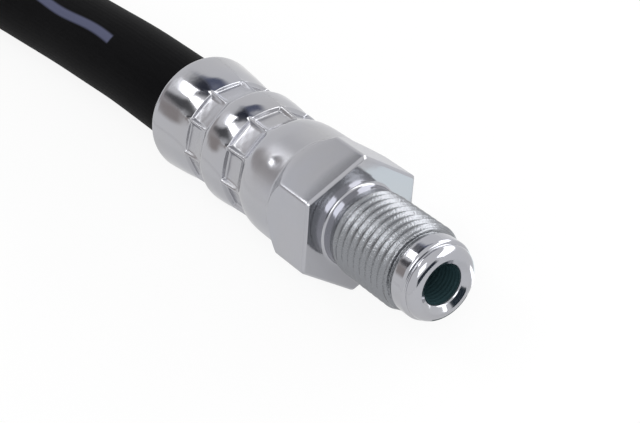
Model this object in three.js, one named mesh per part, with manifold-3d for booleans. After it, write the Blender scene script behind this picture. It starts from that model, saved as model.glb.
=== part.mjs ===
// A hydraulic brake hose: a rubber hose with a steel end fitting crimped onto each end.
// Millimetres, +Z up. The fittings lie level on the plane z = 0, on the rims of their skirts, and
// the hose comes down between them to lie on the same plane.

import * as THREE from 'three';
import { mergeVertices } from 'three/addons/utils/BufferGeometryUtils.js';
import Module from 'manifold-3d';

// Hose
const hoseDiameter = 10.7;
const hoseBore = 3.2;
const hoseSides = 12;
const boreSides = 8;
const hoseSteps = 40;
const hoseTip = 1;
const groundGap = 0.05;

// Clearance between pieces that touch on the real hose
const fit = 0.3;

// Skirt: places along a fitting are measured from the skirt's mouth towards the nose
const skirtLength = 24.9;
const lipWidth = 0.35;
const rimLength = 1.5;
const rimDiameter = 14.3;
const crownFullness = 0.6;
const middleCrownDiameter = 13.84;
const middleRise = 1.4;
const lastCrownDiameter = 14.16;
const lastRise = 3.4;
const skirtEndDiameter = 13.9;
const skirtWall = 0.9;
const socketDepth = 22.4;
const socketSwell = 0.35;
const socketMouthLength = 2.5;

// Crimp rings, each pressed in by a ring of flat dies
const crimpDies = 10;
const crimpTurn = 3;
const crimpStart = 7;
const crimpPitch = 8;
const crimpWidth = 3.2;
const crimpAcrossCorners = 12.94;
const crimpStep = 0.22;
const crimpStepLength = 0.3;
const crimpReachBefore = 3.2;
const crimpReachAfter = 1.2;

// Hexagon, which a cone joins to the skirt
const hexAcrossFlats = 14;
const hexLength = 7.1;
const hexBevel = 0.3;
const coneAngle = 28;

// Screwed end: neck, thread over its crests, relief groove, pilot, notch, sealing bead and nose
const neckDiameter = 9.1;
const neckLength = 2.4;
const neckFillet = 1.1;
const threadDiameter = 10;
const threadLength = 8.2;
const threadBevel = 0.6;
const reliefDiameter = 8.4;
const reliefLength = 0.6;
const pilotDiameter = 9;
const pilotLength = 2.1;
const pilotRound = 0.4;
const notchDiameter = 7.8;
const notchLength = 0.2;
const beadDiameter = 8.4;
const beadLength = 0.8;
const noseDiameter = 6;

// Passage through the fitting, and the insert that holds the hose's bore open under the crimps
const mouthDiameter = 4.4;
const mouthDepth = 0.5;
const passageDiameter = 3.4;
const passageTaper = 5;
const insertDiameter = 4.2;
const insertBore = 2.6;
const insertGrip = 19.5;
const insertSeat = 4.5;
const insertLead = 0.5;
const barbCount = 4;
const barbHeight = 0.18;
const barbLength = 2;
const barbPitch = 3.8;
const firstBarb = 0.95;

// Facets: a whole number of them to each crimp die, and points to each curve of a profile
const facetsPerDie = 4;
const insertFacets = 20;
const curvePoints = 3;

// The hose's route from one skirt's mouth to the other's: x, y, and how far it has come down
// from the fittings' axes, which is 0, to lying on the ground, which is 1
const route = [
  [112.9, 22.2, 0],
  [104.9, 22.2, 0.03],
  [96.9, 22.2, 0.18],
  [88.9, 22, 0.42],
  [80.9, 21.8, 0.7],
  [72.9, 21.4, 0.9],
  [62.5, 20.7, 1],
  [52.5, 19.5, 1],
  [41, 17.2, 1],
  [29.7, 13.8, 1],
  [18.6, 9.5, 1],
  [8.9, 4.7, 1],
  [0, 0, 1],
  [-8.9, -4.7, 1],
  [-18.6, -9.5, 1],
  [-29.7, -13.8, 1],
  [-41, -17.2, 1],
  [-52.5, -19.5, 1],
  [-62.5, -20.7, 1],
  [-72.9, -21.4, 0.9],
  [-80.9, -21.8, 0.7],
  [-88.9, -22, 0.42],
  [-96.9, -22.2, 0.18],
  [-104.9, -22.2, 0.03],
  [-112.9, -22.2, 0],
];

const wasm = await Module();
wasm.setup();

const hoseRadius = hoseDiameter / 2;
const rimRadius = rimDiameter / 2;
const shoulder = skirtLength + hexLength;
const crimpStarts = [crimpStart, crimpStart + crimpPitch];
const crimpRadius = crimpAcrossCorners / 2;
const dieAngle = (2 * Math.PI) / crimpDies;
const crimpFloorRadius = crimpRadius - crimpStep;
const socketCrownRadius = hoseRadius + fit + socketSwell;
const socketCrimpRadius = crimpFloorRadius * Math.cos(dieAngle / 2) - skirtWall;
const insertHoleRadius = insertDiameter / 2 + barbHeight + fit;
const hexCornerRadius = hexAcrossFlats / 2 / Math.cos(Math.PI / 6);
const blankRadius = hexCornerRadius + hexBevel;
const threadStart = shoulder + neckLength;
const threadEnd = threadStart + threadLength;
const pilotStart = threadEnd + reliefLength;
const pilotEnd = pilotStart + pilotLength;
const noseEnd = pilotEnd + notchLength + beadLength;

// Makes a solid of a closed geometry by joining its shared vertices
function solidOf(geometry) {
  geometry.deleteAttribute('normal');
  geometry.deleteAttribute('uv');
  const merged = mergeVertices(geometry, 1e-4);
  const vertProperties = new Float32Array(merged.attributes.position.array);
  const triVerts = new Uint32Array(merged.index.array);
  return new wasm.Manifold(new wasm.Mesh({ numProp: 3, vertProperties, triVerts }));
}

// Makes a named mesh of a solid
function meshOf(name, solid, material) {
  const { vertProperties, triVerts } = solid.getMesh();
  const geometry = new THREE.BufferGeometry();
  geometry.setAttribute('position', new THREE.BufferAttribute(new Float32Array(vertProperties), 3));
  geometry.setIndex(new THREE.BufferAttribute(new Uint32Array(triVerts), 1));
  geometry.computeVertexNormals();
  const mesh = new THREE.Mesh(geometry, material);
  mesh.name = name;
  return mesh;
}

// Turns a closed profile round the X axis: a path's x is the radius and its y the place along
function turned(path, facets, firstAngle = 0) {
  const points = path.getPoints(curvePoints);
  if (THREE.ShapeUtils.isClockWise(points)) points.reverse();
  const geometry = new THREE.LatheGeometry([...points, points[0]], facets, firstAngle, 2 * Math.PI);
  return geometry.rotateZ(-Math.PI / 2);
}

// How fully the dies have flattened the skirt at a place along it, from 0 to 1
function dieShare(place) {
  const { smoothstep } = THREE.MathUtils;
  const shares = crimpStarts.map((start) => {
    const end = start + crimpWidth;
    const before = smoothstep(place, start - crimpReachBefore, start);
    const after = 1 - smoothstep(place, end, end + crimpReachAfter);
    return Math.min(before, after);
  });
  return Math.max(...shares);
}

// Presses the dies' flats into the outside of the turned skirt
function pressDies(geometry) {
  const { degToRad, euclideanModulo, lerp } = THREE.MathUtils;
  const position = geometry.attributes.position;
  for (let i = 0; i < position.count; i += 1) {
    const place = position.getX(i);
    const y = position.getY(i);
    const z = position.getZ(i);
    const isOutside = Math.hypot(y, z) > (socketCrownRadius + crimpFloorRadius) / 2;
    if (isOutside && place < skirtLength) {
      const fromCorner = euclideanModulo(Math.atan2(y, z) - degToRad(crimpTurn), dieAngle);
      const flat = Math.cos(dieAngle / 2) / Math.cos(fromCorner - dieAngle / 2);
      const scale = lerp(1, flat, dieShare(place));
      position.setY(i, y * scale);
      position.setZ(i, z * scale);
    }
  }
  return geometry;
}

// Draws the turned section of one crimp: a step down, the pressed floor and a step up
function drawCrimp(path, start) {
  const end = start + crimpWidth;
  path.lineTo(crimpFloorRadius, start + crimpStepLength);
  path.lineTo(crimpFloorRadius, end - crimpStepLength);
  path.lineTo(crimpRadius, end);
}

// Draws the round shoulder that rises from a crimp to the crown after it
function drawRise(path, start, crownDiameter, length) {
  const crownRadius = crownDiameter / 2;
  path.quadraticCurveTo(crownRadius, start + length / 3, crownRadius, start + length);
}

// Draws the long fall from a crown to the crimp after it
function drawFall(path, crownPlace, crownDiameter, end) {
  const middleRadius = THREE.MathUtils.lerp(crimpRadius, crownDiameter / 2, crownFullness);
  path.quadraticCurveTo(middleRadius, (crownPlace + end) / 2, crimpRadius, end);
}

// Draws the outside of the skirt from its lip to the cone: three crowns and two crimps
function drawSkirt(path) {
  const [first, second] = crimpStarts;
  path.lineTo(hoseRadius + fit + lipWidth, 0);
  path.quadraticCurveTo(rimRadius, 0, rimRadius, rimLength);
  drawFall(path, rimLength, rimDiameter, first);
  drawCrimp(path, first);
  drawRise(path, first + crimpWidth, middleCrownDiameter, middleRise);
  drawFall(path, first + crimpWidth + middleRise, middleCrownDiameter, second);
  drawCrimp(path, second);
  drawRise(path, second + crimpWidth, lastCrownDiameter, lastRise);
  path.lineTo(skirtEndDiameter / 2, skirtLength);
}

// Draws the cone up to the blank that the hexagon is cut from
function drawBlank(path) {
  const rise = blankRadius - skirtEndDiameter / 2;
  path.lineTo(blankRadius, skirtLength + rise / Math.tan(THREE.MathUtils.degToRad(coneAngle)));
  path.lineTo(blankRadius, shoulder);
}

// Draws the outside from the shoulder to the nose
function drawScrewedEnd(path) {
  const neckRadius = neckDiameter / 2;
  path.lineTo(neckRadius + neckFillet, shoulder);
  path.quadraticCurveTo(neckRadius, shoulder, neckRadius, shoulder + neckFillet);
  path.lineTo(neckRadius, threadStart);
  path.lineTo(threadDiameter / 2, threadStart + threadBevel);
  path.lineTo(threadDiameter / 2, threadEnd - threadBevel);
  path.lineTo(reliefDiameter / 2, threadEnd);
  path.lineTo(reliefDiameter / 2, pilotStart);
  path.quadraticCurveTo(pilotDiameter / 2, pilotStart, pilotDiameter / 2, pilotStart + pilotRound);
  path.quadraticCurveTo(pilotDiameter / 2, pilotEnd, notchDiameter / 2, pilotEnd);
  path.lineTo(notchDiameter / 2, pilotEnd + notchLength);
  path.quadraticCurveTo(beadDiameter / 2, pilotEnd + notchLength, beadDiameter / 2, noseEnd - beadLength / 2);
  path.quadraticCurveTo(beadDiameter / 2, noseEnd, noseDiameter / 2, noseEnd);
}

// Draws the countersunk mouth, the passage and the seat of the insert, back to the socket's end
function drawPassage(path) {
  path.lineTo(mouthDiameter / 2, noseEnd - mouthDepth);
  path.lineTo(passageDiameter / 2, noseEnd - mouthDepth - passageTaper);
  path.lineTo(passageDiameter / 2, socketDepth + insertSeat + fit);
  path.lineTo(insertDiameter / 2 + fit, socketDepth + insertSeat + fit);
  path.lineTo(insertDiameter / 2 + fit, socketDepth);
}

// Draws the inside of the skirt from its end to near its mouth, or the hose at a gap inside it
function drawSocket(path, end, mouth, gap) {
  const crown = socketCrownRadius - gap;
  const crimp = socketCrimpRadius - gap;
  const [first, second] = crimpStarts;
  const bend = crimpReachAfter;
  path.lineTo(crown, end);
  path.lineTo(crown, second + crimpWidth + bend);
  path.lineTo(crimp, second + crimpWidth);
  path.lineTo(crimp, second);
  path.lineTo(crown, second - bend);
  path.lineTo(crown, first + crimpWidth + bend);
  path.lineTo(crimp, first + crimpWidth);
  path.lineTo(crimp, first);
  path.lineTo(crown, first - bend);
  path.lineTo(crown, mouth);
}

// The ring of metal milled away round the hexagon, with a bevel at the hexagon's front edges
function hexWaste() {
  const outer = blankRadius * 2;
  const beyond = neckFillet;
  const slope = (hexBevel + beyond) / Math.cos(Math.PI / 6);
  const ring = new THREE.Path();
  ring.moveTo(hexCornerRadius, skirtLength);
  ring.lineTo(hexCornerRadius, shoulder - hexBevel);
  ring.lineTo(hexCornerRadius - slope, shoulder + beyond);
  ring.lineTo(outer, shoulder + beyond);
  ring.lineTo(outer, skirtLength);
  return solidOf(turned(ring, 6, Math.PI / 6));
}

// One end fitting, lying along X with the middle of its mouth at the origin
function fittingSolid() {
  const path = new THREE.Path();
  path.moveTo(hoseRadius + fit, 0);
  drawSkirt(path);
  drawBlank(path);
  drawScrewedEnd(path);
  drawPassage(path);
  drawSocket(path, socketDepth, socketMouthLength, 0);
  const blank = turned(path, crimpDies * facetsPerDie, THREE.MathUtils.degToRad(-crimpTurn));
  return solidOf(pressDies(blank)).subtract(hexWaste());
}

// The steel tube that the hose is pushed over, with barbs that grip its bore
function insertSolid() {
  const outer = insertDiameter / 2;
  const bore = insertBore / 2;
  const start = socketDepth - insertGrip;
  const path = new THREE.Path();
  path.moveTo(bore, start);
  path.lineTo(outer - insertLead / 2, start);
  path.lineTo(outer, start + insertLead);
  for (let i = 0; i < barbCount; i += 1) {
    const barb = start + insertLead + firstBarb + barbPitch * i;
    path.lineTo(outer, barb);
    path.lineTo(outer + barbHeight, barb + barbLength);
    path.lineTo(outer, barb + barbLength);
  }
  path.lineTo(outer, socketDepth + insertSeat);
  path.lineTo(bore, socketDepth + insertSeat);
  return solidOf(turned(path, insertFacets));
}

// The hose's end inside the skirt: it fills the skirt's waves and is squeezed under the crimps
function hoseEndSolid() {
  const path = new THREE.Path();
  path.moveTo(insertHoleRadius, rimLength);
  path.lineTo(insertHoleRadius, socketDepth - fit);
  drawSocket(path, socketDepth - fit, socketMouthLength, fit);
  path.lineTo(hoseRadius - hoseTip / 2, rimLength);
  return solidOf(turned(path, insertFacets));
}

// The room that the insert takes in the end of the hose's bore
function insertHoleSolid() {
  const start = socketDepth - insertGrip - fit;
  const length = insertGrip + fit;
  const geometry = new THREE.CylinderGeometry(insertHoleRadius, insertHoleRadius, length, insertFacets);
  return solidOf(geometry.rotateZ(-Math.PI / 2).translate(start + length / 2, 0, 0));
}

// Sweeps a round section along the route, and on into both skirts to a place inside them
function sweptSolid(diameter, sides, place) {
  const inward = ends.map((end) => new THREE.Vector3(place, 0, 0).applyMatrix4(end.matrix));
  const curve = new THREE.CatmullRomCurve3([inward[0], ...routePoints, inward[1]]);
  const section = new THREE.Shape();
  section.moveTo(diameter / 2, 0);
  for (let i = 1; i < sides; i += 1) {
    const angle = (2 * Math.PI * i) / sides;
    section.lineTo((diameter / 2) * Math.cos(angle), (diameter / 2) * Math.sin(angle));
  }
  section.closePath();
  return solidOf(new THREE.ExtrudeGeometry(section, { steps: hoseSteps, extrudePath: curve }));
}

function hoseSolid() {
  const bore = sweptSolid(hoseBore, boreSides, socketMouthLength + hoseTip);
  let hose = sweptSolid(hoseDiameter, hoseSides, socketMouthLength);
  for (const end of ends) {
    hose = hose.add(hoseEndSolid().transform(end.matrix.elements));
  }
  for (const end of ends) {
    hose = hose.subtract(insertHoleSolid().transform(end.matrix.elements));
  }
  return hose.subtract(bore);
}

// A group whose origin is the middle of a skirt's mouth, and whose X axis points to the nose
function endGroup(mouth, next) {
  const group = new THREE.Group();
  group.position.copy(mouth);
  group.rotation.z = Math.atan2(mouth.y - next.y, mouth.x - next.x);
  group.updateMatrix();
  return group;
}

const groundHeight = hoseRadius + groundGap;
const routePoints = route.map(([x, y, down]) => {
  return new THREE.Vector3(x, y, THREE.MathUtils.lerp(rimRadius, groundHeight, down));
});
const ends = [
  endGroup(routePoints[0], routePoints[1]),
  endGroup(routePoints.at(-1), routePoints.at(-2)),
];

const plating = new THREE.MeshStandardMaterial({ color: 0xa9a9b0, roughness: 0.2, metalness: 1 });
const plainSteel = new THREE.MeshStandardMaterial({ color: 0x8f9298, roughness: 0.35, metalness: 1 });
const rubber = new THREE.MeshStandardMaterial({ color: 0x1a1a1d, roughness: 0.55, metalness: 0 });

const brakeHose = new THREE.Group();
brakeHose.add(meshOf('hose', hoseSolid(), rubber));
['front', 'rear'].forEach((name, i) => {
  ends[i].add(meshOf(`${name}_fitting`, fittingSolid(), plating));
  ends[i].add(meshOf(`${name}_insert`, insertSolid(), plainSteel));
  brakeHose.add(ends[i]);
});

export default brakeHose;
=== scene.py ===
"""A hydraulic brake hose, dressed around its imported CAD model.

A black rubber hose lies in a gentle S on a pale floor, with a crimped, zinc-plated male end
fitting on each end. Each fitting is one turned and milled piece of steel: a skirt pressed onto the
hose by two rings of ten dies, a cone, a hexagon, a neck, a thread, a pilot, a sealing bead and a
countersunk bore.

Sizes in the classes are millimetres, as a drawing gives them, and meshes are made in metres.
"""

import logging
import math
from dataclasses import dataclass, field
from enum import Enum
from typing import Any, Sequence

import bpy
import numpy as np
from mathutils import Matrix, Vector


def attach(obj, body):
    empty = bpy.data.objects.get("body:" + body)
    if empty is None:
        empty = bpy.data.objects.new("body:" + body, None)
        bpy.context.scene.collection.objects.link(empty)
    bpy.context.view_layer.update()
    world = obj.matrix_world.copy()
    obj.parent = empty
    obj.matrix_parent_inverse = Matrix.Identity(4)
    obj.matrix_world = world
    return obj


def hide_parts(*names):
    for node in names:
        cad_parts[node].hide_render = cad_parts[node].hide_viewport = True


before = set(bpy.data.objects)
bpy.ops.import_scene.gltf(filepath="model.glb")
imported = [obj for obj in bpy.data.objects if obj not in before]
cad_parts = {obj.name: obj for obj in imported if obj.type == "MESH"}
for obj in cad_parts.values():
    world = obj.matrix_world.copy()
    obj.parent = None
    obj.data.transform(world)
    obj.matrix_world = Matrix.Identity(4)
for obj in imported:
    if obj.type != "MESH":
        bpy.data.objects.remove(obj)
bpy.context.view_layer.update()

logging.basicConfig(level=logging.INFO, format="%(message)s")
LOG = logging.getLogger("brake_hose")

Array = np.ndarray
Faces = list[tuple[int, ...]]
Tree = bpy.types.NodeTree
Link = bpy.types.NodeSocket
Pair = tuple[float, float]
Triple = tuple[float, float, float]

MM = 0.001
ROOT = "root"
WHITE = (1.0, 1.0, 1.0, 1.0)
WELD_MM = 0.002
CORNER_STEPS = 4
CORNER_MARGIN = 1.02
TOUCHING_MM = 1e-6
LEAST_GAP_MM = 1e-5
BROAD_DETAIL = 2.0
LINE_DETAIL = 3.0
GRAIN_DETAIL = 4.0


# Colour and shader nodes


def linear(hex_colour: str) -> tuple[float, float, float, float]:
    """Turn an sRGB hex colour into linear red, green, blue and alpha.

    Args:
        hex_colour: Six hex digits, such as "c4c6cc".

    Returns:
        The colour that a shader socket takes.
    """
    channels = [int(hex_colour[i : i + 2], 16) / 255 for i in (0, 2, 4)]
    values = [c / 12.92 if c <= 0.04045 else ((c + 0.055) / 1.055) ** 2.4 for c in channels]
    return (values[0], values[1], values[2], 1.0)


def add_node(
    tree: Tree,
    kind: str,
    settings: dict[str, Any] | None = None,
    inputs: dict[str | int, Any] | None = None,
) -> bpy.types.Node:
    """Add a node with its settings and its inputs, each a value or another node's output.

    Args:
        tree: The node tree to add to.
        kind: The node's type, such as "ShaderNodeBump".
        settings: The node's own properties.
        inputs: Values or output sockets for its input sockets, by name or place.

    Returns:
        The new node.
    """
    node = tree.nodes.new(kind)
    for name, value in (settings or {}).items():
        setattr(node, name, value)
    for name, value in (inputs or {}).items():
        if isinstance(value, Link):
            tree.links.new(value, node.inputs[name])
        else:
            node.inputs[name].default_value = value
    return node


def add_math(tree: Tree, operation: str, *values: Link | float) -> Link:
    """Add a sum on numbers or sockets, and return its result."""
    inputs = dict(enumerate(values))
    return add_node(tree, "ShaderNodeMath", {"operation": operation}, inputs).outputs[0]


def add_mix(tree: Tree, share: Link, first: Any, second: Any) -> Link:
    """Mix two numbers or two colours.

    Args:
        tree: The node tree to add to.
        share: How much of the second shows, from 0 to 1.
        first: A number, a colour or a socket.
        second: A number, or a colour, which says what is mixed.

    Returns:
        The mixed value.
    """
    if isinstance(second, float):
        kind, inputs, out = "FLOAT", {0: share, 2: first, 3: second}, 0
    else:
        kind, inputs, out = "RGBA", {0: share, 6: first, 7: second}, 2
    return add_node(tree, "ShaderNodeMix", {"data_type": kind}, inputs).outputs[out]


def add_ramp(
    tree: Tree, value: Link, start: float, end: float, to: Pair = (0.0, 1.0), kind: str = "LINEAR"
) -> Link:
    """Map a value that runs from start to end onto another range, and hold it at both ends.

    Args:
        tree: The node tree to add to.
        value: The value to map.
        start: Where the ramp starts.
        end: Where it ends, which may be below its start.
        to: What it gives at its start and its end.
        kind: The ramp's shape.

    Returns:
        The mapped value.
    """
    inputs = {"Value": value, "From Min": start, "From Max": end, "To Min": to[0], "To Max": to[1]}
    return add_node(tree, "ShaderNodeMapRange", {"interpolation_type": kind}, inputs).outputs[0]


def add_noise(tree: Tree, place: Link, size: float, detail: float) -> Link:
    """Add noise whose lumps are one size apart, and return its height."""
    inputs = {"Vector": place, "Scale": 1 / size, "Detail": detail}
    return add_node(tree, "ShaderNodeTexNoise", inputs=inputs).outputs[0]


def add_bump(tree: Tree, height: Link, depth_mm: float, under: Link | None = None) -> Link:
    """Add a bump in millimetres, over another one if there is one, and return its normal."""
    inputs = {"Strength": 1.0, "Distance": depth_mm * MM, "Height": height}
    if under is not None:
        inputs["Normal"] = under
    return add_node(tree, "ShaderNodeBump", inputs=inputs).outputs[0]


def new_material(name: str) -> tuple[bpy.types.Material, Tree]:
    """Make a material with an empty node tree, and return both."""
    material = bpy.data.materials.new(name)
    material.use_nodes = True
    material.node_tree.nodes.clear()
    return material, material.node_tree


def set_output(tree: Tree, surface: Link) -> None:
    """Send a shader to the material's output."""
    add_node(tree, "ShaderNodeOutputMaterial", inputs={"Surface": surface})


def set_surface(tree: Tree, inputs: dict[str | int, Any]) -> None:
    """Add the general surface shader with its inputs, and send it to the output."""
    set_output(tree, add_node(tree, "ShaderNodeBsdfPrincipled", inputs=inputs).outputs[0])


def seen_directly(tree: Tree) -> Link:
    """Return 1 for what is seen by the eye, in a mirror or through glass, and 0 for light."""
    path = add_node(tree, "ShaderNodeLightPath").outputs
    first = add_math(tree, "MAXIMUM", path["Is Camera Ray"], path["Is Glossy Ray"])
    return add_math(tree, "MAXIMUM", first, path["Is Transmission Ray"])


# Meshes and sections


def new_mesh_object(name: str, points: Array, faces: Faces) -> bpy.types.Object:
    """Make a smooth-shaded mesh object and link it to the scene.

    Args:
        name: The object's name.
        points: Corner places in metres, one row each.
        faces: Corner indices of each face.

    Returns:
        The new object.
    """
    mesh = bpy.data.meshes.new(name)
    mesh.from_pydata(points.tolist(), [], faces)
    mesh.validate()
    mesh.update()
    mesh.polygons.foreach_set("use_smooth", np.ones(len(mesh.polygons), dtype=bool))
    made = bpy.data.objects.new(name, mesh)
    bpy.context.scene.collection.objects.link(made)
    return made


def welded(points: Array, faces: Array) -> tuple[Array, Faces]:
    """Join points that share a place and drop the faces that this closes up.

    Args:
        points: Corner places in millimetres.
        faces: Four corner indices of each face.

    Returns:
        The joined points and the faces that still have an area.
    """
    grid = np.round(points / WELD_MM).astype(np.int64)
    _, first, inverse = np.unique(grid, axis=0, return_index=True, return_inverse=True)
    joined = inverse.reshape(-1)[faces]
    kept = []
    for corners in joined.tolist():
        ring = [c for i, c in enumerate(corners) if c != corners[i - 1]]
        if len(set(ring)) >= 3 and len(set(ring)) == len(ring):
            kept.append(tuple(ring))
    return points[first], kept


def smoothstep(value: Array | float, low: float, high: float) -> Array:
    """Rise smoothly from 0 at low to 1 at high."""
    share = np.clip((np.asarray(value, float) - low) / (high - low), 0.0, 1.0)
    return share * share * (3 - 2 * share)


def bent(start: Array, control: Array, end: Array, steps: int) -> Array:
    """Give the points of a curve that bends from start to end towards one control point."""
    t = np.linspace(0, 1, steps + 1)[:, None]
    return (1 - t) ** 2 * start + 2 * t * (1 - t) * control + t**2 * end


def rounded_polygon(angle: Array, sides: int, flat: float, corner: float) -> Array:
    """Give a regular polygon's radius, with its corners rounded.

    Args:
        angle: Directions in radians, with 0 at the middle of a flat.
        sides: How many sides it has.
        flat: Distance of a flat from the centre.
        corner: Radius of the rounded corners.

    Returns:
        The radius in each direction.
    """
    half = math.pi / sides
    off = np.abs((angle + half) % (2 * half) - half)
    touch = math.atan((flat - corner) * math.tan(half) / flat)
    centre = (flat - corner) / math.cos(half)
    bend = half - off
    arc = centre * np.cos(bend) + np.sqrt(np.maximum(corner**2 - (centre * np.sin(bend)) ** 2, 0))
    return np.where(off < touch, flat / np.cos(off), arc)


class Outline:
    """A section that is drawn from point to point, with its corners softened."""

    def __init__(self, place: float, radius: float) -> None:
        """Start the outline at a place along the axis and a radius."""
        self.runs: list[tuple[Array, float]] = []
        self.pen = np.array([place, radius])

    def line(self, place: float, radius: float, steps: int = 1, soft: float = 0.0) -> None:
        """Draw a straight run, as a curve whose control point is its middle."""
        middle = (self.pen + np.array([place, radius])) / 2
        self.curve((middle[0], middle[1]), place, radius, steps, soft)

    def curve(
        self, control: Pair, place: float, radius: float, steps: int, soft: float = 0.0
    ) -> None:
        """Draw a run that bends towards one control point.

        Args:
            control: Place and radius of the control point.
            place: Where the run ends along the axis.
            radius: The radius there.
            steps: How many steps the run is cut into.
            soft: How far back from its end the corner there is rounded.
        """
        end = np.array([place, radius])
        self.runs.append((bent(self.pen, np.array(control), end, steps), soft))
        self.pen = end

    def points(self) -> Array:
        """Give the outline's points, place and radius, with the corners rounded."""
        made = [self.runs[0][0][0]]
        before = 0.0
        for i, (run, soft) in enumerate(self.runs):
            past_start = np.linalg.norm(run - run[0], axis=1)
            left = np.linalg.norm(run - run[-1], axis=1)
            clear = (past_start > before * CORNER_MARGIN) & (left > soft * CORNER_MARGIN)
            made += list(run[clear & (past_start > TOUCHING_MM)])
            if soft > 0 and i < len(self.runs) - 1:
                made += list(self._corner(run, self.runs[i + 1][0], soft))
            else:
                made.append(run[-1])
            before = soft
        kept = [made[0]]
        for point in made[1:]:
            if np.linalg.norm(point - kept[-1]) > LEAST_GAP_MM:
                kept.append(point)
        return np.array(kept)

    @staticmethod
    def _corner(run: Array, follow: Array, soft: float) -> Array:
        """Round the corner between two runs.

        Args:
            run: The points up to the corner.
            follow: The points from the corner on.
            soft: How far the rounding reaches to each side.

        Returns:
            The rounding's points.
        """
        back = run[-2] - run[-1]
        ahead = follow[1] - follow[0]
        corner = run[-1]
        start = corner + back / np.linalg.norm(back) * soft
        end = corner + ahead / np.linalg.norm(ahead) * soft
        return bent(start, corner, end, CORNER_STEPS)


# Finishes


@dataclass(frozen=True)
class BrightZincPlating:
    """Electroplated zinc with a clear passivate over turned and pressed steel.

    The bath levels the turning marks, so it mirrors its surroundings like a soft silver, with a
    faint blue-violet cast from the passivate. The dies dulled the floors of the crimps, the mill
    left the hexagon satin, and the thread is plated over a rolled, rougher skin. The drilled bore
    has painted shade: a dark teal colour and a lower metallic stand in for the shade and dim
    reflections inside the hole. Stretches run along the fitting from its skirt's mouth, each with
    its fades.
    """

    colour: str = "aaacb5"
    warm_colour: str = "aeadae"
    thread_colour: str = "888a8e"
    # Painted shade: the bore's dark teal colour and its lower metallic below stand in for the
    # shade and dim teal reflections inside the hole.
    bore_painted_shade: str = "354d52"
    bore_shade_metallic: float = 0.4
    roughness: float = 0.1
    pressed_roughness: float = 0.24
    milled_roughness: float = 0.27
    thread_roughness: float = 0.2
    bore_roughness: float = 0.34
    pressed_mm: tuple[Pair, Pair] = ((7.05, 10.1), (15.05, 18.2))
    pressed_fades_mm: Pair = (0.05, 0.05)
    milled_mm: Pair = (20.6, 31.85)
    milled_fades_mm: Pair = (1.5, 0.1)
    thread_mm: Pair = (33.2, 43.4)
    thread_fades_mm: Pair = (0.15, 0.15)
    bore_mm: float = 2.28
    bore_fade_mm: float = 0.01
    cast_mm: float = 7.0
    peel_mm: float = 0.8
    peel_height_mm: float = 0.004
    grain_mm: float = 0.2
    grain_height_mm: float = 0.06

    def build(self) -> bpy.types.Material:
        """Make the material."""
        material, tree = new_material("bright_zinc_plating")
        place = add_node(tree, "ShaderNodeTexCoord").outputs["Object"]
        along = add_node(tree, "ShaderNodeSeparateXYZ", inputs={0: place}).outputs[0]
        thread = self._stretch(tree, along, self.thread_mm, self.thread_fades_mm)
        milled = self._stretch(tree, along, self.milled_mm, self.milled_fades_mm)
        bore = self._bore(tree, place)
        steps = [
            (self._stretch(tree, along, stretch, self.pressed_fades_mm), self.pressed_roughness)
            for stretch in self.pressed_mm
        ]
        steps += [
            (milled, self.milled_roughness),
            (thread, self.thread_roughness),
            (bore, self.bore_roughness),
        ]
        roughness: Link | float = self.roughness
        for share, value in steps:
            roughness = add_mix(tree, share, roughness, value)
        cast = add_noise(tree, place, self.cast_mm * MM, BROAD_DETAIL)
        colour = add_mix(tree, cast, linear(self.colour), linear(self.warm_colour))
        # The bore's share mixes in its painted shade colour.
        for share, tint in ((thread, self.thread_colour), (bore, self.bore_painted_shade)):
            colour = add_mix(tree, share, colour, linear(tint))
        peel = add_noise(tree, place, self.peel_mm * MM, BROAD_DETAIL)
        peel_bump = add_bump(tree, peel, self.peel_height_mm)
        grain = add_noise(tree, place, self.grain_mm * MM, GRAIN_DETAIL)
        grain = add_math(tree, "MULTIPLY", grain, thread)
        set_surface(
            tree,
            {
                "Base Color": colour,
                # The lower metallic inside the bore is part of its painted shade.
                "Metallic": add_ramp(tree, bore, 0.0, 1.0, (1.0, self.bore_shade_metallic)),
                "Roughness": roughness,
                "Normal": add_bump(tree, grain, self.grain_height_mm, peel_bump),
            },
        )
        return material

    def _bore(self, tree: Tree, place: Link) -> Link:
        """Return 1 inside the bore and 0 elsewhere, from the distance to the axis.

        Args:
            tree: The node tree to add to.
            place: The place on the fitting.

        Returns:
            The share.
        """
        inputs = {0: place, 1: (0.0, 1.0, 1.0)}
        across = add_node(
            tree, "ShaderNodeVectorMath", {"operation": "MULTIPLY"}, inputs
        ).outputs[0]
        off = add_node(
            tree, "ShaderNodeVectorMath", {"operation": "LENGTH"}, {0: across}
        ).outputs["Value"]
        start, end = self.bore_mm + self.bore_fade_mm, self.bore_mm - self.bore_fade_mm
        return add_ramp(tree, off, start * MM, end * MM)

    @staticmethod
    def _stretch(tree: Tree, along: Link, stretch_mm: Pair, fades_mm: Pair) -> Link:
        """Return 1 along a stretch of the fitting and 0 elsewhere.

        Args:
            tree: The node tree to add to.
            along: The place along the fitting.
            stretch_mm: Where the stretch starts and ends.
            fades_mm: How far each end fades to both sides.

        Returns:
            The share.
        """
        (start, end), (fade_in, fade_out) = stretch_mm, fades_mm
        rise = add_ramp(tree, along, (start - fade_in) * MM, (start + fade_in) * MM)
        fall = add_ramp(tree, along, (end + fade_out) * MM, (end - fade_out) * MM)
        return add_math(tree, "MULTIPLY", rise, fall)


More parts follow.
